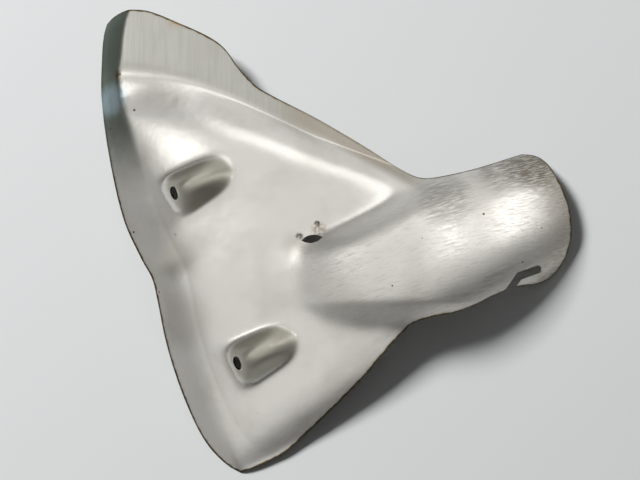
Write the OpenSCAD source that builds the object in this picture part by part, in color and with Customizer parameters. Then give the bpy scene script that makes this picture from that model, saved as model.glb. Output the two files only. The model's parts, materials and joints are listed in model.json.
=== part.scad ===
// Exhaust heat shield: one pressed steel sheet, lying on its rim and on the end of its snout.
// A wide fan covers the ports, a half-pipe snout covers the pipe, and two bosses take the bolts.
// X runs from the fan's rim to the snout's lip, Y across the fan, Z up from the surface it lies on.

/* [Sheet] */
// Thickness of the pressed sheet
sheet_t = 1; // [0.8:0.1:1.4]
// Distance from the rim to the tip of the snout
shield_l = 313; // [305:1:330]
// Distance across the fan, from tip to tip
shield_w = 307.5; // [300:0.5:325]

/* [Fan] */
// Height of the fan's panel where the snout leaves it
panel_h = 28; // [26:0.5:31]
// Slope of the rim, in degrees from level
rim_slope = 41; // [38:1:46]
// Height of the rim's waist above the ground
waist_lift = 5; // [2:0.5:7]
// Depth of the groove pressed in from the waist
waist_groove = 5; // [2:0.5:7]
// Slope of the wall between the panel and the wing, in degrees from level
wall_slope = 47; // [40:1:52]
// Height of the wing
wing_h = 13.5; // [12:0.5:16]
// Slope of the wing beyond the wall, in degrees from level
wing_slope = 3; // [2:0.5:5]
// Slope of the panel's free side, in degrees from level
roll_slope = 22; // [16:1:28]

/* [Snout] */
// Width of the half-pipe between its edges
snout_w = 94; // [88:1:100]
// Depth of the half-pipe from its crown to its edges
snout_deep = 17; // [15:0.5:19]
// Height of the half-pipe's crown
snout_h = 42; // [40:0.5:46]
// Height of the crown at the lip
lip_h = 10; // [9:0.5:14]
// Turn of the half-pipe's line from the X axis, in degrees
snout_turn = 9.5; // [8:0.5:11]
// Radius on which that line bends towards the back edge
snout_bend = 685; // [600:5:800]
// Slope that the skirt below the half-pipe's crease adds, in degrees
skirt_slope = 32; // [24:1:36]

/* [Bosses] */
// Length of a boss, from its bolt face to its tail
boss_l = 43; // [39:1:48]
// Width of a boss at its bolt face
boss_w = 27.5; // [26:0.5:30]
// Height of a boss above the panel
boss_h = 15.5; // [15:0.5:18]
// Turn of both bosses from the X axis, in degrees
boss_turn = 28; // [20:1:36]
// Slope of a bolt face, in degrees from level
face_slope = 65; // [60:1:70]
// Diameter of the flat seat round a bolt hole
seat_d = 13; // [12:0.5:14]
// Diameter of a bolt hole
bolt_d = 9; // [8:0.1:9.5]
// Height of a bolt hole's centre above the panel
bolt_h = 7; // [6.5:0.25:7.5]
// Bolt hole of the upper boss, along X
bolt1_x = -103; // [-106:0.5:-99]
// Bolt hole of the upper boss, along Y
bolt1_y = 23; // [19:0.5:26]
// Bolt hole of the lower boss, along X
bolt2_x = -61; // [-64:0.5:-57]
// Bolt hole of the lower boss, along Y
bolt2_y = -87; // [-91:0.5:-84]

/* [Cuts] */
// Length of the leaf-shaped hole in the panel
leaf_l = 13.5; // [10:0.5:16]
// Width of the leaf-shaped hole
leaf_w = 5.5; // [4:0.5:7]
// Width of the hooked slot at the snout's edge
slot_w = 4.5; // [3.5:0.5:5.5]
// Length of the hooked slot beside the edge
slot_l = 17; // [14:0.5:20]

/* [Hidden] */

// Edge curves: each station is its share of the way along the edge, then X and Y.
half_l = shield_l / 2;
half_w = shield_w / 2;
tip_low = [-59.7, -half_w];
tip_up = [-153.9, 148.3];
lip_low = [141.5, -28.3];
lip_up = [126, 56.5];
rim_edge = [[0, tip_low.x, tip_low.y], [0.04, -70, -147.6], [0.08, -80.3, -137.1],
            [0.14, -90, -120.8], [0.23, -101, -94.9], [0.31, -109.3, -68.5], [0.39, -115, -41.9],
            [0.44, -118.6, -28.5], [0.48, -126.2, -15], [0.58, -138.8, 12.2], [0.71, -149.3, 53.6],
            [0.84, -155.9, 95.6], [0.92, -half_l, 124], [0.97, -155.7, 140], [1, tip_up.x, tip_up.y]];
lip_edge = [[0, lip_low.x, lip_low.y], [0.12, 149.3, -19.8], [0.25, 154.6, -9],
            [0.39, half_l, 3.8], [0.58, 153.9, 23], [0.79, 144.4, 44.3], [0.88, 138.8, 52.1],
            [0.93, 133.4, 55.6], [1, lip_up.x, lip_up.y]];
free_edge = [[0, tip_low.x, tip_low.y], [0.07, -47.3, -149.5], [0.145, -31.1, -141.2],
             [0.23, -18.3, -130.3], [0.36, 0.9, -112.4], [0.49, 20.3, -93.1], [0.58, 33.3, -78.1],
             [0.66, 45, -65.5], [0.7, 51, -61], [0.74, 62.7, -57.3], [0.79, 75.9, -54.4],
             [0.835, 89.1, -49.6], [0.88, 102.6, -42.6], [0.92, 117, -36.5], [0.97, 133.3, -32.1],
             [1, lip_low.x, lip_low.y]];
back_edge = [[0, tip_up.x, tip_up.y], [0.02, -148.5, 151.6], [0.05, -139.3, half_w - 0.4],
             [0.09, -124.5, 152.3], [0.16, -103.5, 143.8], [0.23, -83, 133.9], [0.265, -72.8, 126.1],
             [0.31, -62.5, 111.9], [0.355, -52.3, 100.7], [0.395, -42.2, 94.1], [0.49, -12.1, 78.1],
             [0.59, 17.9, 60.1], [0.69, 47.6, 40.9], [0.72, 57.4, 36.8], [0.76, 67.3, 36.1],
             [0.84, 87.3, 40.2], [0.92, 107.3, 47.8], [0.96, 117.4, 52.6], [1, lip_up.x, lip_up.y]];

// Past the neck the fan's panel falls away under the snout
neck_x = 59;
neck_slope = 42;

// Blend widths: how softly two pressed faces run into each other
rim_blend = 4;
wall_blend = 14;
wing_blend = 2;
roll_blend = 6;
neck_blend = 12;
snout_blend = 4;
skirt_blend = 2;
boss_blend = 2;
face_blend = 5;
corner_blend = 4;

// Lines of the mesh: closest across the bolt faces, and every second one on the snout
rim_end = 0.09;
face_end = 0.2;
boss_end = 0.36;
low_boss = [0.12, 0.36];
up_boss = [0.52, 0.74];
along = concat(steps(0, rim_end, 6), steps(rim_end, face_end, 18), steps(face_end, boss_end, 12),
               steps(boss_end, 1, 20), [1]);
across = concat(steps(0, low_boss[0], 4), steps(low_boss[0], low_boss[1], 17),
                steps(low_boss[1], up_boss[0], 4), steps(up_boss[0], up_boss[1], 16),
                steps(up_boss[1], 1, 11), [1]);

function steps(from, to, n) = [for (i = [0:n - 1]) from + (to - from) * i / n];
function ramp(d, k) = (d + sqrt(d * d + k * k)) / 2;
function lower_of(a, b, k) = (a + b - sqrt((a - b) * (a - b) + k * k)) / 2;
function upper_of(a, b, k) = (a + b + sqrt((a - b) * (a - b) + k * k)) / 2;
function lower_near(a, b, k) = min(a, b) - pow(max(k - abs(a - b), 0), 2) / (4 * k);
function bell(d, w) = exp(-(d / w) * (d / w));
function flat(p) = [p[1], p[2]];

// Distances of a plan point along a turned line and to the left of it
function beside(p, start, turn) =
    let (q = p - start)
    [q.x * cos(turn) + q.y * sin(turn), q.y * cos(turn) - q.x * sin(turn)];

// A smooth curve through the stations
function span(st, s, i = 0) = i >= len(st) - 2 || s <= st[i + 1][0] ? i : span(st, s, i + 1);
function trend(st, i) =
    let (a = max(i - 1, 0), b = min(i + 1, len(st) - 1))
    (flat(st[b]) - flat(st[a])) / (st[b][0] - st[a][0]);
function edge_at(st, s) =
    let (i = span(st, s), h = st[i + 1][0] - st[i][0], t = (s - st[i][0]) / h,
         t2 = t * t, t3 = t2 * t)
    (2 * t3 - 3 * t2 + 1) * flat(st[i]) + (t3 - 2 * t2 + t) * h * trend(st, i)
    + (3 * t2 - 2 * t3) * flat(st[i + 1]) + (t3 - t2) * h * trend(st, i + 1);

// The plan of the sheet: its four edge curves blended across the middle
function plan(s, v) =
    (1 - v) * edge_at(free_edge, s) + v * edge_at(back_edge, s)
    + (1 - s) * edge_at(rim_edge, v) + s * edge_at(lip_edge, v)
    - (1 - s) * ((1 - v) * tip_low + v * tip_up) - s * ((1 - v) * lip_low + v * lip_up);

// The panel is a low dome that tips a little towards its free side
dome_top = [-20, 0];
rim_side_r = 520;
back_side_r = 2500;
free_side_r = 1000;
dome_tip = 2;
function dome(p) =
    let (q = p - dome_top)
    panel_h + q.y * tan(dome_tip) - pow(min(q.x, 0), 2) / (2 * rim_side_r)
    - pow(max(q.y, 0), 2) / (2 * back_side_r) - pow(min(q.y, 0), 2) / (2 * free_side_r);

// The groove pressed into the panel from the rim's waist
groove_from = [-119, -22.5];
groove_turn = 18;
groove_w = 8;
groove_l = 24;
function groove(p) =
    let (q = beside(p, groove_from, groove_turn))
    waist_groove * bell(q.y, groove_w) * bell(q.x, groove_l);

// Past the panel's back line the wall goes down to the level wing, more gently towards the rim
back_line = [-14, 54];
back_turn = -20;
back_bend = 0.0013;
back_eases = 170;
wing_y = 100;
function wall_drop(p) =
    let (q = beside(p, back_line, back_turn), a = min(q.x, 0))
    tan(wall_slope) * (1 + a / back_eases) * ramp(q.y + back_bend * a * a, wall_blend);
function wing_z(p) = wing_h + (p.y - wing_y) * tan(wing_slope);

// Past the roll line the free side slopes down
roll_line = [40, -62];
roll_turn = 33.4;
function roll_drop(p) = tan(roll_slope) * ramp(-beside(p, roll_line, roll_turn).y, roll_blend);

function fan_z(p) =
    upper_of(dome(p) - groove(p) - roll_drop(p) - wall_drop(p), wing_z(p), wing_blend)
    - tan(neck_slope) * ramp(p.x - neck_x, neck_blend);

// The sloping rim, which stands on the ground except at its waist
waist_y = -33;
waist_l = 30;
function rim_z(p, rim_d) = waist_lift * bell(p.y - waist_y, waist_l) + rim_d * tan(rim_slope);

// The snout's half-pipe, arched along its line
snout_from = [-29.4, -34.3];
snout_top = 85;
snout_l = (half_l - snout_from.x) * cos(snout_turn) - snout_from.y * sin(snout_turn);
nose_power = 3;
lip_power = 2;
lip_deepens = 0.115;
flank_power = 3;
crease_y = -49.3;
function snout_z(p) =
    let (q = beside(p, snout_from, snout_turn), b = q.y - q.x * q.x / (2 * snout_bend),
         back = max(snout_top - q.x, 0) / snout_top, front = max(q.x - snout_top, 0),
         crown = snout_h - (snout_h - panel_h) * pow(back, nose_power)
                 - (snout_h - lip_h) * pow(front / (snout_l - snout_top), lip_power),
         flank = (snout_deep + lip_deepens * front) * pow(abs(b) / (snout_w / 2), flank_power),
         skirt = tan(skirt_slope) * ramp(crease_y - p.y, skirt_blend))
    crown - flank - skirt;

// A boss: a half-round body that sinks into the panel at its tail, cut by the sloping bolt face
boss_nose = 4;
boss_aside = 1;
function boss_z(p, bolt) =
    let (q = beside(p, bolt, boss_turn), b = q.y + boss_aside,
         front = q.x + bolt_h / tan(face_slope),
         wall = tan(face_slope) * lower_near(front, boss_w / 2 - abs(b), corner_blend),
         crest = boss_h * (boss_l - q.x) / (boss_l - boss_nose))
    dome(bolt) + lower_near(crest - b * b / boss_w, wall, face_blend);

bolt1 = [bolt1_x, bolt1_y];
bolt2 = [bolt2_x, bolt2_y];

function height(s, v) =
    let (p = plan(s, v), rim_d = norm(p - plan(0, v)),
         panel = lower_of(upper_of(fan_z(p), snout_z(p), snout_blend), rim_z(p, rim_d), rim_blend))
    upper_of(upper_of(panel, boss_z(p, bolt1), boss_blend), boss_z(p, bolt2), boss_blend);

function skin_point(s, v) = let (p = plan(s, v)) [p.x, p.y, height(s, v)];

skin = [for (s = along) [for (v = across) skin_point(s, v)]];
rows = len(along);
cols = len(across);
function way(i, j) =
    let (a = skin[min(i + 1, rows - 1)][j] - skin[max(i - 1, 0)][j],
         b = skin[i][min(j + 1, cols - 1)] - skin[i][max(j - 1, 0)], n = cross(a, b))
    n / norm(n);
under = [for (i = [0:rows - 1]) [for (j = [0:cols - 1]) skin[i][j] - sheet_t * way(i, j)]];

// The flat seats round the bolt holes stand a little proud of the pressed face on both sides
seat_proud = 0.1;
seat_t = sheet_t + 2 * seat_proud;
seat_lap = 0.6;
bore_reach = 4;

// Cutters start below the sheet and reach past its highest point
cut_from = -10;
through = snout_h + boss_h - cut_from;
leaf_at = [-13.9, -7];
leaf_turn = 8;
slot_at = [119.3, -29.8];
slot_turn = 23;
mouth_turn = -147;
mouth_l = 12;

// Where the finished part's frame lies: centred on its box, on the ground
every = concat([for (r = skin) each r], [for (r = under) each r]);
low = [for (k = [0:2]) min([for (p = every) p[k]])];
high = [for (k = [0:2]) max([for (p = every) p[k]])];
middle = [(low.x + high.x) / 2, (low.y + high.y) / 2, low.z];

module sheet() {
    n = rows * cols;
    turn_row = len([for (s = along) if (s < boss_end) s]);
    function at(i, j) = i * cols + j;
    fine = [for (i = [0:turn_row - 1]) for (j = [0:cols - 2])
        each [[at(i, j), at(i + 1, j + 1), at(i + 1, j)], [at(i, j), at(i, j + 1), at(i + 1, j + 1)]]];
    joint = [for (i = turn_row, j = 0; j < cols - 1; j = j + 2)
        each [[at(i, j), at(i, j + 1), at(i + 1, j)], [at(i, j + 1), at(i + 1, j + 2), at(i + 1, j)],
              [at(i, j + 1), at(i, j + 2), at(i + 1, j + 2)]]];
    coarse = [for (i = [turn_row + 1:rows - 2]) for (j = [0:2:cols - 2])
        each [[at(i, j), at(i + 1, j + 2), at(i + 1, j)], [at(i, j), at(i, j + 2), at(i + 1, j + 2)]]];
    top = concat(fine, joint, coarse);
    bottom = [for (f = top) [f[0] + n, f[2] + n, f[1] + n]];
    round_edge = concat([for (i = [0:rows - 2]) at(i, 0)], [for (j = [0:2:cols - 2]) at(rows - 1, j)],
                        [for (i = [rows - 1:-1:1]) at(i, cols - 1)], [for (j = [cols - 1:-1:1]) at(0, j)]);
    m = len(round_edge);
    sides = [for (i = [0:m - 1]) let (a = round_edge[i], b = round_edge[(i + 1) % m])
        each [[a, b, b + n], [a, b + n, a + n]]];
    polyhedron(points = every, faces = concat(top, bottom, sides), convexity = 8);
}

// Stands a child on the line of a bolt, with the bolt face at its zero
module at_bolt(bolt) {
    translate([bolt.x, bolt.y, dome(bolt) + bolt_h])
        rotate([0, face_slope, 180 + boss_turn])
            children();
}

module bolt_seat() {
    translate([0, 0, seat_proud - seat_t])
        cylinder(d = seat_d, h = seat_t, $fn = 48);
}

module bolt_bore() {
    translate([0, 0, -bore_reach])
        cylinder(d = bolt_d, h = 2 * bore_reach, $fn = 48);
}

// The leaf is where two round cutters of one radius overlap
module leaf_cut() {
    half = leaf_l / 2;
    rise = leaf_w / 2;
    r = (half * half + rise * rise) / (2 * rise);
    translate([leaf_at.x, leaf_at.y, cut_from])
        rotate(leaf_turn)
            intersection_for (side = [-1, 1])
                translate([0, side * (r - rise), 0])
                    cylinder(r = r, h = through, $fn = 96);
}

// A slot along the edge with a round end, and a mouth that lets it out at the free edge
module slot_cut() {
    translate([slot_at.x, slot_at.y, cut_from])
        rotate(slot_turn) {
            translate([0, -slot_w / 2, 0])
                cube([slot_l - slot_w / 2, slot_w, through]);
            translate([slot_l - slot_w / 2, 0, 0])
                cylinder(d = slot_w, h = through, $fn = 32);
            cylinder(d = slot_w, h = through, $fn = 32);
            rotate(mouth_turn)
                translate([0, -slot_w / 2, 0])
                    cube([mouth_l, slot_w, through]);
        }
}

module heat_shield() {
    color([0.75, 0.74, 0.72])
        translate(-middle) {
            difference() {
                sheet();
                for (bolt = [bolt1, bolt2])
                    at_bolt(bolt)
                        translate([0, 0, -bore_reach])
                            cylinder(d = seat_d - 2 * seat_lap, h = 2 * bore_reach, $fn = 48);
                leaf_cut();
                slot_cut();
            }
            for (bolt = [bolt1, bolt2])
                at_bolt(bolt)
                    difference() {
                        bolt_seat();
                        bolt_bore();
                    }
        }
}

heat_shield();
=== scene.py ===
"""Dresses the pressed exhaust heat shield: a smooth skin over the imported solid, its steel, and the studio."""
import json
import logging
import math
from dataclasses import dataclass, field
from enum import Enum

import bpy
import numpy as np
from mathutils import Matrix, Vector

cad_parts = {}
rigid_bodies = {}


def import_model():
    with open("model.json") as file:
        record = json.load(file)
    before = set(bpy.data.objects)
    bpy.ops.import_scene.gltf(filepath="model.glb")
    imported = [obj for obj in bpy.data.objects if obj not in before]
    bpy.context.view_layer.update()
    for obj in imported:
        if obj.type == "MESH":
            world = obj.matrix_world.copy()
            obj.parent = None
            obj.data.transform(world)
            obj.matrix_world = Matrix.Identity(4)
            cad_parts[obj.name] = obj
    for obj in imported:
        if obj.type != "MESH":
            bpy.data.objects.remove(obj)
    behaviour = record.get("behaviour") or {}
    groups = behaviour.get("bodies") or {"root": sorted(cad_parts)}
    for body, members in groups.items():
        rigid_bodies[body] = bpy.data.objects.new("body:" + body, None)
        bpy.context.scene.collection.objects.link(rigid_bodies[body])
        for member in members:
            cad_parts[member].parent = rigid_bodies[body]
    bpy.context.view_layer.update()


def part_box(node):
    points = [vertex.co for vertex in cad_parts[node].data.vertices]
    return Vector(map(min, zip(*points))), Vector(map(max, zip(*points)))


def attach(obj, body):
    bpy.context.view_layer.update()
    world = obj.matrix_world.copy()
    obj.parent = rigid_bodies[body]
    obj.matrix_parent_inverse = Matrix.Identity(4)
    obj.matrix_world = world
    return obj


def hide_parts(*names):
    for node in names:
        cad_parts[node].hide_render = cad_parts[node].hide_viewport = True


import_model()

LOG = logging.getLogger("heat_shield")
NODE = "heat_shield"
MM = 0.001

Points = np.ndarray
PlanSpot = tuple[float, float]
Colour = tuple[float, float, float]
Socket = bpy.types.NodeSocket


class Surface(Enum):
    """The two faces of the sheet that carry different finishes."""

    SKIN = 0
    CUT_EDGE = 1


def ramp(distance: Points, blend: float) -> Points:
    """A ramp that starts at zero and rises at one in one.

    Args:
        distance: How far past the start, in millimetres.
        blend: Width over which the start is rounded.

    Returns:
        The height of the ramp there.
    """
    return (distance + np.sqrt(distance * distance + blend * blend)) / 2


def lower_of(first: Points, second: Points, blend: float | Points) -> Points:
    """The lower of two heights, with the corner between them rounded.

    Args:
        first: Heights of the first face.
        second: Heights of the second face.
        blend: Width of the rounding.

    Returns:
        The blended heights.
    """
    return (first + second - np.sqrt((first - second) ** 2 + blend * blend)) / 2


def upper_of(first: Points, second: Points, blend: float | Points) -> Points:
    """The higher of two heights, with the corner between them rounded.

    Args:
        first: Heights of the first face.
        second: Heights of the second face.
        blend: Width of the rounding.

    Returns:
        The blended heights.
    """
    return (first + second + np.sqrt((first - second) ** 2 + blend * blend)) / 2


def lower_near(first: Points, second: Points, blend: float) -> Points:
    """The lower of two heights, rounded only where they are close to each other.

    Args:
        first: Heights of the first face.
        second: Heights of the second face.
        blend: Height difference within which the corner is rounded.

    Returns:
        The blended heights.
    """
    close = np.maximum(blend - np.abs(first - second), 0)
    return np.minimum(first, second) - close * close / (4 * blend)


def bell(distance: Points, width: float) -> Points:
    """A bell curve, one at its middle.

    Args:
        distance: Distance from the middle.
        width: Distance at which it has fallen to about a third.

    Returns:
        The height of the curve there.
    """
    return np.exp(-((distance / width) ** 2))


def share_past(distance: Points, width: float) -> Points:
    """A share that goes from zero to one where a distance passes zero.

    Args:
        distance: Distance past the line.
        width: Distance over which the share changes.

    Returns:
        The shares.
    """
    return 1 / (1 + np.exp(-np.clip(distance, -60, 60) / width))


def slope(degrees: float) -> float:
    """Rise over run of a slope given in degrees from level."""
    return math.tan(math.radians(degrees))


def along_and_across(points: Points, start: PlanSpot, turn: float) -> tuple[Points, Points]:
    """Splits plan points into a distance along a turned line and one across it.

    Args:
        points: Plan points, in millimetres.
        start: Where the line starts.
        turn: Angle of the line from the X axis, in degrees.

    Returns:
        The distances along the line and to its left.
    """
    x = points[..., 0] - start[0]
    y = points[..., 1] - start[1]
    c, s = math.cos(math.radians(turn)), math.sin(math.radians(turn))
    return x * c + y * s, y * c - x * s


@dataclass(frozen=True)
class EdgeCurve:
    """A smooth plan curve through stations of share, X and Y."""

    stations: tuple[tuple[float, float, float], ...]

    def at(self, share: Points) -> Points:
        """Points of the curve.

        Args:
            share: Shares of the way along, from 0 to 1.

        Returns:
            Plan points, one for each share.
        """
        table = np.array(self.stations, float)
        ends, spots = table[:, 0], table[:, 1:]
        first = np.clip(np.arange(len(ends)) - 1, 0, None)
        last = np.clip(np.arange(len(ends)) + 1, None, len(ends) - 1)
        trend = (spots[last] - spots[first]) / (ends[last] - ends[first])[:, None]
        i = np.clip(np.searchsorted(ends, share) - 1, 0, len(ends) - 2)
        h = (ends[i + 1] - ends[i])[..., None]
        t = (share[..., None] - ends[i][..., None]) / h
        t2, t3 = t * t, t * t * t
        return (
            (2 * t3 - 3 * t2 + 1) * spots[i]
            + (t3 - 2 * t2 + t) * h * trend[i]
            + (3 * t2 - 2 * t3) * spots[i + 1]
            + (t3 - t2) * h * trend[i + 1]
        )


@dataclass(frozen=True)
class Boss:
    """A raised boss that carries a bolt hole in its sloping face. Sizes are in millimetres."""

    bolt: PlanSpot
    length: float = 42.0
    width: float = 29.0
    height: float = 15.5
    turn: float = 28.0
    face_slope: float = 65.0
    bolt_height: float = 7.0
    bolt_diameter: float = 9.0
    nose: float = 4.0
    aside: float = 1.0
    corner: float = 10.0
    face_blend: float = 10.0
    tail_power: float = 2.8
    roundness: float = 17.0

    def rise(self, points: Points) -> Points:
        """Height of the boss above the panel under its bolt.

        Args:
            points: Plan points.

        Returns:
            Heights, below zero past the boss.
        """
        a, b = along_and_across(points, self.bolt, self.turn)
        b = b + self.aside
        front = a + self.bolt_height / slope(self.face_slope)
        wall = slope(self.face_slope) * lower_near(front, self.width / 2 - np.abs(b), self.corner)
        gone = np.maximum(a - self.nose, 0) / (self.length - self.nose)
        crest = self.height * (1 - gone ** self.tail_power)
        return lower_near(crest - b * b / self.roundness, wall, self.face_blend)

    def normal(self) -> Vector:
        """Direction in which the bolt leaves its hole."""
        tip, turn = math.radians(self.face_slope), math.radians(180 + self.turn)
        return Vector((math.sin(tip) * math.cos(turn), math.sin(tip) * math.sin(turn), math.cos(tip)))


@dataclass
class PressedForm:
    """The formed sheet as a height over its plan, in millimetres, from the same sizes as the solid."""

    thickness: float = 1.0
    length: float = 313.0
    width: float = 307.5
    panel_height: float = 28.0
    rim_slope: float = 41.0
    waist_lift: float = 5.0
    waist_groove: float = 5.0
    wall_slope: float = 47.0
    wing_height: float = 13.5
    roll_slope: float = 8.0
    roll_turns: float = 24.0
    skirt_slope: float = 32.0
    snout_width: float = 94.0
    snout_deep: float = 17.0
    snout_narrows: float = 20.5
    snout_height: float = 42.0
    lip_height: float = 10.0
    lip_deepens: float = 0.115
    lip_power: float = 2.0
    flank_power: float = 3.0
    nose_power: float = 3.0
    snout_turn: float = 9.5
    snout_bend: float = 685.0
    neck_x: float = 59.0
    neck_slope: float = 42.0
    dome_end: float = -20.0
    dome_radii: tuple[float, float, float] = (520.0, 2500.0, 1000.0)
    groove_spot: PlanSpot = (-119.0, -22.5)
    groove_turn: float = 18.0
    groove_reach: tuple[float, float] = (24.0, 8.0)
    roll_line: PlanSpot = (40.0, -62.0)
    roll_turn: float = 33.4
    roll_flat: float = 12.0
    back_line: PlanSpot = (-14.0, 54.0)
    back_turn: float = -20.0
    back_bend: float = 0.0013
    back_eases: float = 91.0
    back_ease_power: float = 1.4
    wall_blend: float = 14.0
    foot_spot: PlanSpot = (-125.6, 103.7)
    foot_falls: float = 0.14
    foot_bend: float = 0.0027
    valley_depth: float = 0.9
    valley_width: float = 5.0
    wing_spot: PlanSpot = (-100.0, 100.0)
    wing_slope: float = 3.0
    wing_lean: float = 0.03
    snout_start: PlanSpot = (-15.4, -31.9)
    snout_top: float = 71.0
    bend_ahead: float = 14.0
    skirt_y: float = -49.3
    waist_y: float = -33.0
    waist_width: float = 30.0
    rim_eases: float = 5.0
    rim_ease_y: float = 18.0
    rim_ease_width: float = 22.0
    rim_fold: float = 8.0
    rim_crisp: float = 6.8
    snout_blend: float = 9.0
    boss_blend: float = 4.5
    bosses: tuple[Boss, ...] = (Boss((-103, 23)), Boss((-61, -87)))
    rim: EdgeCurve = field(init=False)
    lip: EdgeCurve = field(init=False)
    free: EdgeCurve = field(init=False)
    back: EdgeCurve = field(init=False)

    def __post_init__(self) -> None:
        """Lays out the four edge curves between the sheet's corners."""
        half_l, half_w = self.length / 2, self.width / 2
        self.tip_low, self.tip_up = np.array([-59.7, -half_w]), np.array([-153.9, 148.3])
        self.lip_low, self.lip_up = np.array([141.5, -28.3]), np.array([126, 56.5])
        self.rim = EdgeCurve((
            (0, *self.tip_low), (0.04, -70, -147.6), (0.08, -80.3, -137.1), (0.14, -90, -120.8),
            (0.23, -101, -94.9), (0.31, -109.3, -68.5), (0.39, -115, -41.9), (0.44, -118.6, -28.5),
            (0.48, -126.2, -15), (0.58, -138.8, 12.2), (0.71, -149.3, 53.6), (0.84, -155.9, 95.6),
            (0.92, -half_l, 124), (0.97, -155.7, 140), (1, *self.tip_up)))
        self.lip = EdgeCurve((
            (0, *self.lip_low), (0.12, 149.3, -19.8), (0.25, 154.6, -9),
            (0.39, half_l, 3.8), (0.58, 153.9, 23), (0.79, 144.4, 44.3), (0.88, 138.8, 52.1),
            (0.93, 133.4, 55.6), (1, *self.lip_up)))
        self.free = EdgeCurve((
            (0, *self.tip_low), (0.07, -47.3, -149.5), (0.145, -31.1, -141.2), (0.23, -18.3, -130.3),
            (0.36, 0.9, -112.4), (0.49, 20.3, -93.1), (0.58, 33.3, -78.1), (0.66, 45, -65.5),
            (0.7, 51, -61), (0.74, 62.7, -57.3), (0.79, 75.9, -54.4), (0.835, 89.1, -49.6),
            (0.88, 102.6, -42.6), (0.92, 117, -36.5), (0.97, 133.3, -32.1),
            (1, *self.lip_low)))
        self.back = EdgeCurve((
            (0, *self.tip_up), (0.02, -148.5, 151.6), (0.05, -139.3, half_w - 0.4), (0.09, -124.5, 152.3),
            (0.16, -103.5, 143.8), (0.23, -83, 133.9), (0.265, -72.8, 126.1), (0.31, -62.5, 111.9),
            (0.355, -52.3, 100.7), (0.395, -42.2, 94.1), (0.49, -12.1, 78.1), (0.59, 17.9, 60.1),
            (0.69, 47.6, 40.9), (0.72, 57.4, 36.8), (0.76, 67.3, 36.1), (0.84, 87.3, 40.2),
            (0.92, 107.3, 47.8), (0.96, 117.4, 52.6), (1, *self.lip_up)))

    def plan(self, s: Points, v: Points) -> Points:
        """Plan points of the sheet: its four edges blended across the middle.

        Args:
            s: Shares of the way from the rim to the lip.
            v: Shares of the way from the free edge to the back edge.

        Returns:
            Plan points.
        """
        sw, vw = s[..., None], v[..., None]
        edges = (
            (1 - vw) * self.free.at(s) + vw * self.back.at(s)
            + (1 - sw) * self.rim.at(v) + sw * self.lip.at(v)
        )
        corners = (1 - sw) * ((1 - vw) * self.tip_low + vw * self.tip_up) + sw * (
            (1 - vw) * self.lip_low + vw * self.lip_up
        )
        return edges - corners

    def dome(self, points: Points) -> Points:
        """Height of the panel's low dome, which tips a little towards its free side."""
        x, y = points[..., 0] - self.dome_end, points[..., 1]
        to_rim, to_wing, to_free = self.dome_radii
        return (
            self.panel_height + y * slope(2) - np.minimum(x, 0) ** 2 / (2 * to_rim)
            - np.maximum(y, 0) ** 2 / (2 * to_wing) - np.minimum(y, 0) ** 2 / (2 * to_free)
        )

    def groove(self, points: Points) -> Points:
        """Depth of the groove pressed in from the rim's waist."""
        a, b = along_and_across(points, self.groove_spot, self.groove_turn)
        return self.waist_groove * bell(b, self.groove_reach[1]) * bell(a, self.groove_reach[0])

    def past_back(self, points: Points) -> Points:
        """How far each plan point lies past the top of the back wall."""
        a, b = along_and_across(points, self.back_line, self.back_turn)
        return b + self.back_bend * np.minimum(a, 0) ** 2

    def wall_drop(self, points: Points) -> Points:
        """How far the back wall has gone down, more gently towards the rim."""
        a = np.minimum(along_and_across(points, self.back_line, self.back_turn)[0], 0)
        eased = np.exp(-((-a / self.back_eases) ** self.back_ease_power))
        return slope(self.wall_slope) * eased * ramp(self.past_back(points), self.wall_blend)

    def past_foot(self, points: Points) -> Points:
        """How far each plan point lies behind the foot of the back wall."""
        u = points[..., 0] - self.foot_spot[0]
        return points[..., 1] - (self.foot_spot[1] - self.foot_falls * u - self.foot_bend * u * u)

    def wing_z(self, points: Points) -> Points:
        """Height of the flat wing behind the wall, with the shallow valley along its foot."""
        x, y = points[..., 0] - self.wing_spot[0], points[..., 1] - self.wing_spot[1]
        level = self.wing_height + y * slope(self.wing_slope) + x * self.wing_lean
        width = self.valley_width
        return level - self.valley_depth * bell(self.past_foot(points) - width, width)

    def fan_z(self, points: Points) -> Points:
        """Height of the fan without its rim."""
        past = -along_and_across(points, self.roll_line, self.roll_turn)[1]
        roll = slope(self.roll_slope) * ramp(past, 2) + slope(self.roll_turns) * ramp(past - self.roll_flat, 6)
        neck = slope(self.neck_slope) * ramp(points[..., 0] - self.neck_x, 12)
        panel = self.dome(points) - self.groove(points) - roll - self.wall_drop(points)
        return upper_of(panel, self.wing_z(points), 1.2) - neck

    def snout_z(self, points: Points) -> Points:
        """Height of the arched half-pipe."""
        start, top, half_l = self.snout_start, self.snout_top, self.length / 2
        c, s = math.cos(math.radians(self.snout_turn)), math.sin(math.radians(self.snout_turn))
        reach = (half_l - start[0]) * c - start[1] * s
        a, b = along_and_across(points, start, self.snout_turn)
        b = b - (a + self.bend_ahead) ** 2 / (2 * self.snout_bend)
        back, front = np.maximum(top - a, 0) / top, np.maximum(a - top, 0)
        crown = (
            self.snout_height - (self.snout_height - self.panel_height) * back ** self.nose_power
            - (self.snout_height - self.lip_height) * (front / (reach - top)) ** self.lip_power
        )
        narrow = np.maximum(self.snout_narrows / (1 + np.exp((a - 70) / 18)) - 0.4, 0)
        half_w = self.snout_width / 2 - narrow * (b > 0)
        flank = (self.snout_deep + self.lip_deepens * front) * (np.abs(b) / half_w) ** self.flank_power
        skirt = slope(self.skirt_slope) * ramp(self.skirt_y - points[..., 1], 2)
        return crown - flank - skirt

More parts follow.
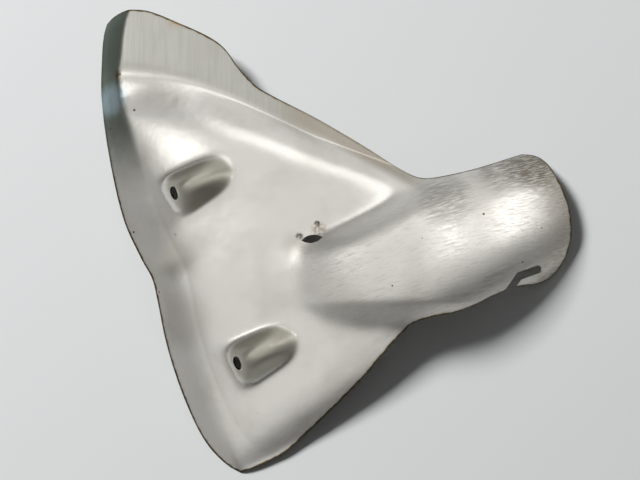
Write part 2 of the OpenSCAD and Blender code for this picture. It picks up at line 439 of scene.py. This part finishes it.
    def rim_z(self, points: Points, rim_d: Points) -> Points:
        """Height of the sloping rim, which stands on the ground except at its waist."""
        y = points[..., 1]
        tilt = np.radians(self.rim_slope - self.rim_eases * bell(y - self.rim_ease_y, self.rim_ease_width))
        return self.waist_lift * bell(y - self.waist_y, self.waist_width) + rim_d * np.tan(tilt)

    def skin(self, s: Points, v: Points) -> Points:
        """Points of the sheet's upper face.

        Args:
            s: Shares of the way from the rim to the lip.
            v: Shares of the way from the free edge to the back edge.

        Returns:
            Points in millimetres, in the drawing's own frame.
        """
        p = self.plan(s, v)
        rim_d = np.linalg.norm(p - self.plan(np.zeros_like(s), v), axis=-1)
        crisp = np.clip((p[..., 1] - 20) / 60, 0, 1)
        fold = (self.rim_fold - self.rim_crisp * crisp) * np.clip(0.36 + rim_d / 36, 0, 1)
        z = upper_of(self.fan_z(p), self.snout_z(p), self.snout_blend)
        z = lower_of(z, self.rim_z(p, rim_d), fold)
        for boss in self.bosses:
            ground = self.dome(np.array(boss.bolt, float))
            z = upper_of(z, ground + boss.rise(p), self.boss_blend)
        return np.concatenate([p, z[..., None]], axis=-1)

    def marks(self, s: Points, v: Points) -> dict[str, Points]:
        """What the finish needs to know about each point of the skin.

        Args:
            s: Shares of the way from the rim to the lip.
            v: Shares of the way from the free edge to the back edge.

        Returns:
            Named values: millimetres to the nearest cut edge, the lip and the back edge, and the shares
            that are boss, rim, snout and wing.
        """
        p = self.plan(s, v)
        zero, one = np.zeros_like(s), np.ones_like(s)
        to_lip = np.linalg.norm(p - self.plan(one, v), axis=-1)
        gaps = [to_lip] + [
            np.linalg.norm(p - self.plan(*spot), axis=-1) for spot in ((zero, v), (s, zero), (s, one))
        ]
        fan, snout = self.fan_z(p), self.snout_z(p)
        rim = self.rim_z(p, np.linalg.norm(p - self.plan(zero, v), axis=-1))
        return {
            "boss": np.maximum.reduce([share_past(boss.rise(p) - 1.5, 1) for boss in self.bosses]),
            "rim": share_past(np.maximum(fan, snout) - rim, 0.6),
            "edge_mm": np.minimum.reduce(gaps),
            "lip_mm": to_lip,
            "back_mm": np.linalg.norm(p - self.plan(s, one), axis=-1),
            "snout": share_past(snout - fan, 1.5),
            "wing": share_past(self.past_foot(p) - 7, 1.5) * np.clip(-p[..., 0] / 30, 0, 1),
        }


def deselect() -> None:
    """Leaves nothing selected, so that an operator acts only on what is picked next."""
    for one in bpy.context.view_layer.objects:
        one.select_set(False)


def pick(piece: bpy.types.Object) -> None:
    """Selects one object and makes it active."""
    deselect()
    piece.select_set(True)
    bpy.context.view_layer.objects.active = piece


class LampUse(Enum):
    """What a lamp is for."""

    FLOOR = 0
    STEEL = 1


@dataclass(frozen=True)
class Lamp:
    """A soft area light. Angles are in degrees, lengths in metres and power in watts."""

    azimuth: float
    elevation: float
    size: tuple[float, float]
    power: float
    use: LampUse
    faces: tuple[float, float, float] = (0.0, 0.0, 0.0)
    distance: float = 1.6


@dataclass
class Studio:
    """The camera, the pale floor and the soft lights. Lengths are in metres."""

    elevation: float = 78.0
    distance: float = 1.0
    lens: float = 86.5
    target: tuple[float, float, float] = (-0.0087, -0.0049, 0.0174)
    floor_size: float = 8.0
    shades: tuple[tuple[float, float], ...] = (
        (0.0, 0.15), (0.15, 0.19), (0.45, 0.26), (0.7, 0.5), (0.87, 0.74), (0.97, 0.8)
    )
    glows: tuple[tuple[float, float, float], ...] = ((72, 0.68, 0.55), (-155, 0.66, 0.18), (-48, 0.72, -0.14))
    fill: float = 0.09

    def camera(self) -> None:
        """Stands the camera above the free side, looking down as the photograph does."""
        tip = math.radians(self.elevation)
        back = Vector((0, -math.cos(tip), math.sin(tip)))
        data = bpy.data.cameras.new("camera")
        data.lens = self.lens
        data.sensor_width = 36
        camera = bpy.data.objects.new("camera", data)
        camera.location = Vector(self.target) + back * self.distance
        camera.rotation_euler = (-back).to_track_quat("-Z", "Y").to_euler()
        bpy.context.scene.collection.objects.link(camera)
        bpy.context.scene.camera = camera

    def floor(self) -> None:
        """Lays the pale floor under the shield."""
        deselect()
        bpy.ops.mesh.primitive_plane_add(size=self.floor_size, location=(0, 0, 0))
        floor = bpy.context.object
        floor.name = "floor"
        material = bpy.data.materials.new("floor_paint")
        material.use_nodes = True
        shader = material.node_tree.nodes["Principled BSDF"]
        shader.inputs["Base Color"].default_value = (0.78, 0.8, 0.8, 1)
        shader.inputs["Roughness"].default_value = 0.6
        floor.data.materials.append(material)

    def lamp(self, name: str, lamp: Lamp) -> None:
        """Hangs one soft area light.

        Args:
            name: Name of the light.
            lamp: Its place, size and power.
        """
        a, e = math.radians(lamp.azimuth), math.radians(lamp.elevation)
        out = Vector((math.cos(a) * math.cos(e), math.sin(a) * math.cos(e), math.sin(e)))
        data = bpy.data.lights.new(name, "AREA")
        data.shape = "RECTANGLE"
        data.size, data.size_y = lamp.size
        data.energy = lamp.power
        light = bpy.data.objects.new(name, data)
        light.location = Vector(lamp.faces) + out * lamp.distance
        light.visible_glossy = lamp.use is LampUse.STEEL
        light.visible_diffuse = lamp.use is LampUse.FLOOR
        light.rotation_euler = (-out).to_track_quat("-Z", "Y").to_euler()
        bpy.context.scene.collection.objects.link(light)

    def lights(self) -> None:
        """Hangs the soft lights: one that casts the shadow, and banks that show in the steel."""
        floor, steel = LampUse.FLOOR, LampUse.STEEL
        lamps = {
            "key": Lamp(143, 39, (1.1, 1.1), 200, floor, distance=4.0),
            "back_bank": Lamp(80, 47, (0.9, 0.5), 1.5, steel),
            "rim_bank": Lamp(141, 60, (0.35, 0.3), 0.75, steel),
            "snout_bank": Lamp(28, 38, (0.17, 0.15), 0.22, steel, (0.12, 0.01, 0.03), 0.4),
            "spark": Lamp(39, 66, (0.04, 0.04), 0.07, steel, (0.08, -0.005, 0.043), 0.4),
        }
        for name, lamp in lamps.items():
            self.lamp(name, lamp)

    def world(self) -> None:
        """A room that is bright overhead and at the back right, and darker elsewhere.

        It lights the floor by its fill only, so that the shield keeps its shadow.
        """
        world = bpy.data.worlds.new("room")
        bpy.context.scene.world = world
        world.use_nodes = True
        nodes, links = world.node_tree.nodes, world.node_tree.links
        way = nodes.new("ShaderNodeTexCoord").outputs["Generated"]
        split = nodes.new("ShaderNodeSeparateXYZ")
        links.new(way, split.inputs[0])
        band = nodes.new("ShaderNodeValToRGB")
        points = band.color_ramp.elements
        points.remove(points[1])
        for position, level in self.shades[1:]:
            points.new(position)
        for point, (position, level) in zip(points, self.shades):
            point.position = position
            point.color = (level, level, level * 0.99, 1)
        links.new(split.outputs["Z"], band.inputs[0])
        colour = band.outputs[0]
        for azimuth, start, level in self.glows:
            toward = nodes.new("ShaderNodeVectorMath")
            toward.operation = "DOT_PRODUCT"
            links.new(way, toward.inputs[0])
            turn = math.radians(azimuth)
            toward.inputs[1].default_value = (math.cos(turn), math.sin(turn), 0)
            glow = nodes.new("ShaderNodeMapRange")
            glow.interpolation_type = "SMOOTHSTEP"
            links.new(toward.outputs["Value"], glow.inputs["Value"])
            for name, number in (("From Min", start), ("From Max", start + 0.24), ("To Max", level)):
                glow.inputs[name].default_value = number
            both = nodes.new("ShaderNodeMix")
            both.data_type = "RGBA"
            both.blend_type = "ADD"
            both.inputs["Factor"].default_value = 1
            links.new(colour, both.inputs["A"])
            links.new(glow.outputs[0], both.inputs["B"])
            colour = both.outputs["Result"]
        links.new(colour, nodes["Background"].inputs["Color"])
        path = nodes.new("ShaderNodeLightPath")
        seen = path.outputs["Is Camera Ray"]
        for kind in ("Is Glossy Ray", "Is Transmission Ray"):
            total = nodes.new("ShaderNodeMath")
            links.new(seen, total.inputs[0])
            links.new(path.outputs[kind], total.inputs[1])
            seen = total.outputs[0]
        strength = nodes.new("ShaderNodeMapRange")
        links.new(seen, strength.inputs["Value"])
        strength.inputs["To Min"].default_value = self.fill
        links.new(strength.outputs[0], nodes["Background"].inputs["Strength"])

    def build(self) -> None:
        """Sets up the whole studio."""
        scene = bpy.context.scene
        scene.view_settings.view_transform = "Standard"
        self.camera()
        self.floor()
        self.lights()
        self.world()
        LOG.info("studio ready")


class Net:
    """A short way to write the nodes of one material."""

    def __init__(self, name: str) -> None:
        """Starts a material.

        Args:
            name: Name of the material.
        """
        self.material = bpy.data.materials.new(name)
        self.material.use_nodes = True
        self.nodes = self.material.node_tree.nodes
        self.shader = self.nodes["Principled BSDF"]

    def feed(self, socket: Socket, value: Socket | float | tuple[float, ...]) -> None:
        """Links an output to a socket, or sets the socket to a plain value."""
        if isinstance(value, bpy.types.NodeSocket):
            self.material.node_tree.links.new(value, socket)
        else:
            socket.default_value = value

    def math(self, kind: str, *values: Socket | float, clamp: bool = False) -> Socket:
        """Adds a math node.

        Args:
            kind: Its operation.
            values: Its inputs, as outputs or numbers.
            clamp: Whether the result is kept between 0 and 1.

        Returns:
            Its output.
        """
        node = self.nodes.new("ShaderNodeMath")
        node.operation = kind
        node.use_clamp = clamp
        for socket, value in zip(node.inputs, values):
            self.feed(socket, value)
        return node.outputs[0]

    def product(self, *values: Socket | float) -> Socket:
        """Multiplies outputs and numbers together."""
        result = values[0]
        for value in values[1:]:
            result = self.math("MULTIPLY", result, value)
        return result

    def place(self, turn: float = 0.0, stretch: tuple[float, float, float] = (1, 1, 1)) -> Socket:
        """Object coordinates in millimetres, turned about Z and stretched.

        Args:
            turn: Angle in degrees that becomes the X direction.
            stretch: Factors on the turned coordinates.

        Returns:
            The vector output.
        """
        where = self.nodes.new("ShaderNodeTexCoord").outputs["Object"]
        turned = self.nodes.new("ShaderNodeVectorRotate")
        turned.rotation_type = "Z_AXIS"
        turned.inputs["Angle"].default_value = math.radians(-turn)
        self.feed(turned.inputs["Vector"], where)
        scaled = self.nodes.new("ShaderNodeVectorMath")
        scaled.operation = "MULTIPLY"
        self.feed(scaled.inputs[0], turned.outputs[0])
        scaled.inputs[1].default_value = [factor / MM for factor in stretch]
        return scaled.outputs[0]

    def along(self, axis: int) -> Socket:
        """One object coordinate in millimetres: 0 for X, 1 for Y, 2 for Z."""
        split = self.nodes.new("ShaderNodeSeparateXYZ")
        self.feed(split.inputs[0], self.place())
        return split.outputs[axis]

    def noise(self, where: Socket, scale: float, detail: float = 3.0) -> Socket:
        """Noise from 0 to 1 over a vector, with the scale per millimetre."""
        node = self.nodes.new("ShaderNodeTexNoise")
        self.feed(node.inputs["Vector"], where)
        node.inputs["Scale"].default_value = scale
        node.inputs["Detail"].default_value = detail
        return node.outputs["Fac"]

    def band(self, value: Socket, low: float, high: float, start: float = 0.0, end: float = 1.0) -> Socket:
        """A smooth step of a value between two limits.

        Args:
            value: The output to step.
            low: Value at which the step starts.
            high: Value at which it ends.
            start: Result before the step.
            end: Result past the step.

        Returns:
            The output.
        """
        node = self.nodes.new("ShaderNodeMapRange")
        node.interpolation_type = "SMOOTHSTEP"
        self.feed(node.inputs["Value"], value)
        for name, number in zip(("From Min", "From Max", "To Min", "To Max"), (low, high, start, end)):
            node.inputs[name].default_value = number
        return node.outputs[0]

    def mark(self, name: str) -> Socket:
        """One of the values stored with the sheet's vertices."""
        node = self.nodes.new("ShaderNodeAttribute")
        node.attribute_name = name
        return node.outputs["Fac"]

    def near(self, spot: PlanSpot, radius: float) -> Socket:
        """One at a plan spot of the sheet, fading to zero at a radius.

        Args:
            spot: Plan position in millimetres.
            radius: Radius in millimetres.

        Returns:
            The output.
        """
        node = self.nodes.new("ShaderNodeVectorMath")
        node.operation = "DISTANCE"
        self.feed(node.inputs[0], self.place(stretch=(1, 1, 0)))
        node.inputs[1].default_value = (*spot, 0)
        return self.band(node.outputs["Value"], radius, radius * 0.3)

    def tint(self, under: Socket | Colour, share: Socket | float, colour: Colour) -> Socket:
        """Lays a colour over another.

        Args:
            under: The colour below.
            share: How much of the new colour shows.
            colour: The new colour.

        Returns:
            The output.
        """
        node = self.nodes.new("ShaderNodeMix")
        node.data_type = "RGBA"
        self.feed(node.inputs["Factor"], share)
        self.feed(node.inputs["A"], (*under, 1) if isinstance(under, tuple) else under)
        self.feed(node.inputs["B"], (*colour, 1))
        return node.outputs["Result"]


@dataclass(frozen=True)
class StainAndShade:
    """A tint at a plan spot, in millimetres: a stain; some entries are painted shade and painted reflections
    instead.
    """

    spot: PlanSpot
    radius: float
    colour: Colour
    strength: float = 1.0
    grain: float = 0.5
    streaky: bool = False


@dataclass(frozen=True)
class SteelFinish:
    """Bare pressed stainless sheet: satin, with rolled grain, rubbed streaks and small stains, and painted
    shade and reflections on its rim, wing, bosses, back wall and lip.
    """

    name: str = "pressed_steel"
    colour: Colour = (0.795, 0.775, 0.73)
    smudge_and_shade: Colour = (0.4, 0.35, 0.28)
    rust: Colour = (0.1, 0.07, 0.03)
    rim_shade: Colour = (0.1, 0.13, 0.1)
    wing_dull_and_shade: Colour = (0.41, 0.41, 0.37)
    boss_shade: Colour = (0.34, 0.32, 0.24)
    roughness: float = 0.27
    stains_and_shades: tuple[StainAndShade, ...] = (
        StainAndShade((-9.0, -1.0), 7.0, (0.35, 0.27, 0.19), 0.7),
        StainAndShade((-10.5, 3.6), 2.6, (0.02, 0.018, 0.015)),
        StainAndShade((-22.0, -5.0), 3.4, (0.04, 0.03, 0.02)),
        # Painted reflection: a greenish tint in the groove at the rim's waist.
        StainAndShade((-103.0, -16.0), 17.0, (0.48, 0.46, 0.34), 0.3, 3.0),
        StainAndShade((-104.0, 148.0), 11.0, (0.45, 0.3, 0.15), 0.5),
        # Darker streaky patches along the snout's upper edge towards the lip.
        StainAndShade((130.0, 46.0), 27.0, (0.2, 0.17, 0.13), 0.85, 0.5, True),
        StainAndShade((108.0, 42.0), 24.0, (0.27, 0.25, 0.22), 0.65, 0.5, True),
        StainAndShade((72.0, 18.0), 26.0, (0.3, 0.29, 0.26), 0.65, 0.7, True),
        # Painted reflection: a bluish tint on the rim's upper part.
        StainAndShade((-148.0, 93.0), 15.0, (0.42, 0.53, 0.58), 0.85, 3.0),
        # Painted shade: a broad darkening over the lower lobe beside the rim's waist.
        StainAndShade((-98.0, -57.0), 26.0, (0.33, 0.3, 0.26), 0.32, 3.0),
        # Painted shade over the nose's highlight, where the sheet is also brownish.
        StainAndShade((-24.0, -13.0), 13.0, (0.5, 0.46, 0.4), 0.5, 3.0),
    )

    def streaks(self, net: Net) -> Socket:
        """Rubbed streaks along the snout, from 0 to 1."""
        return net.noise(net.place(17, (0.14, 1.5, 0.3)), 0.9, 6)

    def scratches(self, net: Net) -> Socket:
        """Fine scratches across the wing, from 0 to 1."""
        return net.noise(net.place(0, (1, 0.05, 0.05)), 0.8, 4)

    def specks(self, net: Net) -> Socket:
        """Sparse small rust specks, one where there is rust."""
        cells = net.nodes.new("ShaderNodeTexVoronoi")
        net.feed(cells.inputs["Vector"], net.place())
        cells.inputs["Scale"].default_value = 0.07
        size = net.band(net.noise(net.place(), 0.02, 1), 0.4, 0.7, 0.02, 0.055)
        return net.math("LESS_THAN", cells.outputs["Distance"], size)

    def rubbed(self, net: Net, snout: Socket, streaks: Socket) -> Socket:
        """The bare colour with faint blotches, and the rubbed streaks of the snout."""
        blotch = net.noise(net.place(), 0.035, 4)
        colour = net.tint(self.colour, net.band(blotch, 0.4, 0.75, 0, 0.22), self.smudge_and_shade)
        return net.tint(colour, net.product(snout, net.band(streaks, 0.5, 0.75, 0, 0.3)), self.smudge_and_shade)

    def dulled_and_shaded(self, net: Net, colour: Socket, dull_and_shaded_wing: Socket, boss: Socket) -> Socket:
        """The scratched wing, tinted duller partly as painted shade, and the bosses, tinted darker olive as
        painted shade.
        """
        # Painted shade and scratches: the wing is tinted a duller grey.
        colour = net.tint(colour, dull_and_shaded_wing, self.wing_dull_and_shade)
        # Painted shade: the bosses are tinted darker olive over their highlights.
        return net.tint(colour, net.product(boss, 0.65), self.boss_shade)

    def darkened_lip_and_edges(self, net: Net, colour: Socket, streaks: Socket) -> Socket:
        """The lip, darkened in streaks as painted shade where it turns down and browned by heat; and a thin
        dark brown border along the sheet's cut edges.
        """
        # Painted shade on the turned-down lip, together with its heat browning.
        lip = net.product(net.band(net.mark("lip_mm"), 30, 2), net.band(streaks, 0.3, 0.65, 0.3, 0.7))
        colour = net.tint(colour, lip, self.smudge_and_shade)
        # A thin dark brown border along the cut edges, fading inwards.
        ragged = net.band(net.noise(net.place(), 0.25), 0.3, 0.7, -0.25, 0.25)
        edge = net.math("ADD", net.mark("edge_mm"), ragged)
        colour = net.tint(colour, net.band(edge, 3.0, 0.4, 0, 0.4), self.smudge_and_shade)
        return net.tint(colour, net.band(edge, 1.3, 0.8), self.rust)

    def shaded_rim_and_back(self, net: Net, colour: Socket) -> Socket:
        """Painted shade: the rim's dark upper end and the dark strip along the back edge's sloping wall; also a
        dark patchy mark along the rim's fold.
        """
        x, y, rim = net.along(0), net.along(1), net.mark("rim")
        # Painted shade: the upper end of the rim is tinted towards a dark green grey.
        colour = net.tint(colour, net.product(rim, net.band(y, 22, 78, 0, 0.9)), self.rim_shade)
        # Painted shade: a dark strip over the sloping back wall near the back edge.
        near_back = net.band(net.mark("back_mm"), 17, 7)
        strip = net.product(near_back, net.band(x, -45, -15), net.band(x, 70, 45, 0, 0.75))
        colour = net.tint(colour, strip, self.smudge_and_shade)
        # A dark patchy mark along the rim's fold at its upper end.
        fold = net.product(net.band(rim, 0.005, 0.1), net.band(rim, 0.995, 0.8))
        upper_end = net.product(net.band(y, 80, 92), net.band(y, 118, 108, 0, 0.9))
        patches = net.band(net.noise(net.place(), 0.2), 0.35, 0.55, 0.4, 1)
        return net.tint(colour, net.product(fold, upper_end, patches), self.rust)

    def stained_and_shaded(self, net: Net, colour: Socket, streaks: Socket) -> Socket:
        """The stains, the painted shade and reflections listed with them, and the small rust specks."""
        for blot in self.stains_and_shades:
            grain = streaks if blot.streaky else net.noise(net.place(), 0.6)
            patchy = net.band(grain, 0.5 - blot.grain * 0.3, 0.55, 0.1, blot.strength)
            colour = net.tint(colour, net.product(net.near(blot.spot, blot.radius), patchy), blot.colour)
        return net.tint(colour, self.specks(net), self.rust)

    def build(self) -> bpy.types.Material:
        """Makes the material.

        Returns:
            The material.
        """
        net = Net(self.name)
        snout, boss = net.mark("snout"), net.mark("boss")
        wing = net.math("MULTIPLY", net.mark("wing"), net.math("SUBTRACT", 1.0, snout), clamp=True)
        streaks, scratches = self.streaks(net), self.scratches(net)
        colour = self.rubbed(net, snout, streaks)
        colour = self.dulled_and_shaded(net, colour, net.product(wing, net.band(scratches, 0.3, 0.8, 0.62, 0.8)), boss)
        colour = self.darkened_lip_and_edges(net, colour, streaks)
        colour = self.shaded_rim_and_back(net, colour)
        colour = self.stained_and_shaded(net, colour, streaks)
        net.feed(net.shader.inputs["Base Color"], colour)
        net.shader.inputs["Metallic"].default_value = 1
        worn = net.product(snout, net.band(streaks, 0.3, 0.7, 0.06, 0.2))
        rough = net.math("ADD", self.roughness, worn)
        for share, extra in ((wing, 0.1), (boss, 0.16)):
            rough = net.math("ADD", rough, net.product(share, extra))
        net.feed(net.shader.inputs["Roughness"], rough)
        height = net.product(snout, streaks)
        height = net.math("ADD", height, net.product(wing, scratches, 0.4))
        height = net.math("ADD", height, net.product(net.noise(net.place(), 0.12, 3), 1.5))
        bump = net.nodes.new("ShaderNodeBump")
        bump.inputs["Strength"].default_value = 0.15
        bump.inputs["Distance"].default_value = 0.0006
        net.feed(bump.inputs["Height"], height)
        net.feed(net.shader.inputs["Normal"], bump.outputs[0])
        return net.material


@dataclass(frozen=True)
class CutEdgeFinish:
    """The sheared edge of the sheet, in a dark brown."""

    name: str = "sheared_edge"
    colour: Colour = (0.12, 0.09, 0.055)

    def build(self) -> bpy.types.Material:
        """Makes the material.

        Returns:
            The material.
        """
        material = bpy.data.materials.new(self.name)
        material.use_nodes = True
        shader = material.node_tree.nodes["Principled BSDF"]
        shader.inputs["Base Color"].default_value = (*self.colour, 1)
        shader.inputs["Metallic"].default_value = 0.6
        shader.inputs["Roughness"].default_value = 0.5
        return material


@dataclass
class HeatShield:
    """The one pressed sheet, modelled finer than the solid that it stands for."""

    form: PressedForm = field(default_factory=PressedForm)
    lines_along: int = 220
    lines_across: int = 180

    def spread(self, share: Points, knots: tuple[tuple[float, float], ...]) -> Points:
        """Moves evenly spaced shares closer together where the form has tight bends."""
        even, moved = zip(*knots)
        return np.interp(share, even, moved)

    def place(self, points: Points) -> tuple[Points, Points]:
        """Turns drawing millimetres into frame metres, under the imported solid's own box.

        Args:
            points: Points of the upper face.

        Returns:
            The points in metres, and the shift that was added.
        """
        low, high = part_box(NODE)
        metres = points * MM
        reach_low, reach_high = metres.min(axis=0), metres.max(axis=0)
        shift = np.array([
            (low.x + high.x - reach_low[0] - reach_high[0]) / 2,
            (low.y + high.y - reach_low[1] - reach_high[1]) / 2,
            high.z - reach_high[2],
        ])
        return metres + shift, shift

    def skin_grid(self) -> bpy.types.Object:
        """Models the upper face from a grid primitive.

        Returns:
            The object, with its place in its mesh.
        """
        deselect()
        bpy.ops.mesh.primitive_grid_add(
            x_subdivisions=self.lines_along, y_subdivisions=self.lines_across, size=1
        )
        piece = bpy.context.object
        piece.name = "shield_skin"
        mesh = piece.data
        co = np.zeros(len(mesh.vertices) * 3)
        mesh.vertices.foreach_get("co", co)
        co = co.reshape(-1, 3)
        s = self.spread(co[:, 0] + 0.5, ((0, 0), (0.15, 0.09), (0.55, 0.4), (1, 1)))
        knots = ((0, 0), (0.11, 0.14), (0.37, 0.36), (0.47, 0.52), (0.73, 0.7), (1, 1))
        v = self.spread(co[:, 1] + 0.5, knots)
        points, self.shift = self.place(self.form.skin(s, v))
        mesh.vertices.foreach_set("co", points.ravel())
        for name, values in self.form.marks(s, v).items():
            mesh.attributes.new(name, "FLOAT", "POINT").data.foreach_set("value", values)
        mesh.update()
        return piece

    def spot(self, x: float, y: float, z: float = 0.0) -> Vector:
        """A point of the drawing in the frame."""
        return Vector((x, y, z)) * MM + Vector(self.shift)

    def cut(self, piece: bpy.types.Object, cutter: bpy.types.Object) -> None:
        """Cuts a hole with a cutter, which is then thrown away.

        Args:
            piece: The sheet.
            cutter: The cutter's object.
        """
        pick(piece)
        hole = piece.modifiers.new("hole", "BOOLEAN")
        hole.operation = "DIFFERENCE"
        hole.solver = "EXACT"
        hole.object = cutter
        bpy.ops.object.modifier_apply(modifier=hole.name)
        bpy.data.objects.remove(cutter)

    def drill(self, piece: bpy.types.Object, boss: Boss) -> None:
        """Drills a boss's bolt hole square to its face."""
        ground = float(self.form.dome(np.array(boss.bolt, float)))
        deselect()
        bpy.ops.mesh.primitive_cylinder_add(
            vertices=64, radius=boss.bolt_diameter / 2 * MM, depth=8 * MM,
            location=self.spot(*boss.bolt, ground + boss.bolt_height),
            rotation=boss.normal().to_track_quat("Z", "Y").to_euler(),
        )
        self.cut(piece, bpy.context.object)

    def stamp(self, piece: bpy.types.Object, outline: list[PlanSpot]) -> None:
        """Stamps a hole of a plan outline down through the sheet.

        Args:
            piece: The sheet.
            outline: Plan points in drawing millimetres, counter-clockwise.
        """
        deselect()
        bpy.ops.mesh.primitive_circle_add(vertices=len(outline), radius=1, fill_type="NGON")
        cutter = bpy.context.object
        for vertex, (x, y) in zip(cutter.data.vertices, outline):
            vertex.co = self.spot(x, y, -10)
        wall = cutter.modifiers.new("depth", "SOLIDIFY")
        wall.thickness = 80 * MM
        wall.offset = 1
        bpy.ops.object.modifier_apply(modifier=wall.name)
        self.cut(piece, cutter)

    def leaf(
        self, at: PlanSpot = (-13.9, -7.0), turn: float = 8.0, length: float = 13.5, width: float = 5.5
    ) -> list[PlanSpot]:
        """Outline of the leaf-shaped hole: two arcs that meet in points."""
        half, rise = length / 2, width / 2
        radius = (half * half + rise * rise) / (2 * rise)
        reach = math.asin(half / radius)
        turns = np.linspace(reach, -reach, 17)
        arc = [(radius * math.sin(a), rise - radius + radius * math.cos(a)) for a in turns]
        ring = arc[:-1] + [(-x, -y) for x, y in arc[:-1]]
        c, s = math.cos(math.radians(turn)), math.sin(math.radians(turn))
        return [(at[0] + x * c - y * s, at[1] + x * s + y * c) for x, y in ring]

    def slot(
        self, at: PlanSpot = (119.3, -29.8), turn: float = 23.0, length: float = 17.0, width: float = 4.5
    ) -> list[PlanSpot]:
        """Outline of the hooked slot: a round-ended slot whose mouth leads out at the free edge."""
        r, mouth = width / 2, 12.0
        lean = math.radians(-147)
        out, side = np.array([math.cos(lean), math.sin(lean)]), np.array([-math.sin(lean), math.cos(lean)])
        corner = (side[0] * r + out[0] * (r + side[1] * r) / -out[1], -r)
        ring = [tuple(mouth * out + r * side), corner]
        quarter = math.pi / 2
        ring += [(length - r + r * math.cos(a), r * math.sin(a)) for a in np.linspace(-quarter, quarter, 13)]
        ring += [(r * math.cos(a), r * math.sin(a)) for a in np.linspace(quarter, lean + 3 * quarter, 5)]
        ring.append(tuple(mouth * out - r * side))
        c, s = math.cos(math.radians(turn)), math.sin(math.radians(turn))
        return [(at[0] + x * c - y * s, at[1] + x * s + y * c) for x, y in ring]

    def thicken(self, piece: bpy.types.Object) -> None:
        """Gives the sheet its thickness below the upper face."""
        piece.data.materials.append(SteelFinish().build())
        piece.data.materials.append(CutEdgeFinish().build())
        pick(piece)
        solid = piece.modifiers.new("thickness", "SOLIDIFY")
        solid.thickness = self.form.thickness * MM
        solid.offset = -1
        solid.use_rim = True
        solid.material_offset_rim = Surface.CUT_EDGE.value
        bpy.ops.object.modifier_apply(modifier=solid.name)

    def build(self) -> bpy.types.Object:
        """Models and dresses the sheet.

        Returns:
            The finished piece.
        """
        piece = self.skin_grid()
        self.thicken(piece)
        for boss in self.form.bosses:
            self.drill(piece, boss)
        self.stamp(piece, self.leaf())
        self.stamp(piece, self.slot())
        pick(piece)
        bpy.ops.object.shade_smooth_by_angle(angle=math.radians(40))
        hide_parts(NODE)
        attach(piece, "root")
        LOG.info("%s: %d faces", piece.name, len(piece.data.polygons))
        return piece


def main() -> None:
    """Builds the studio and the shield in order."""
    logging.basicConfig(level=logging.INFO)
    Studio().build()
    HeatShield().build()


if __name__ == "__main__":
    main()
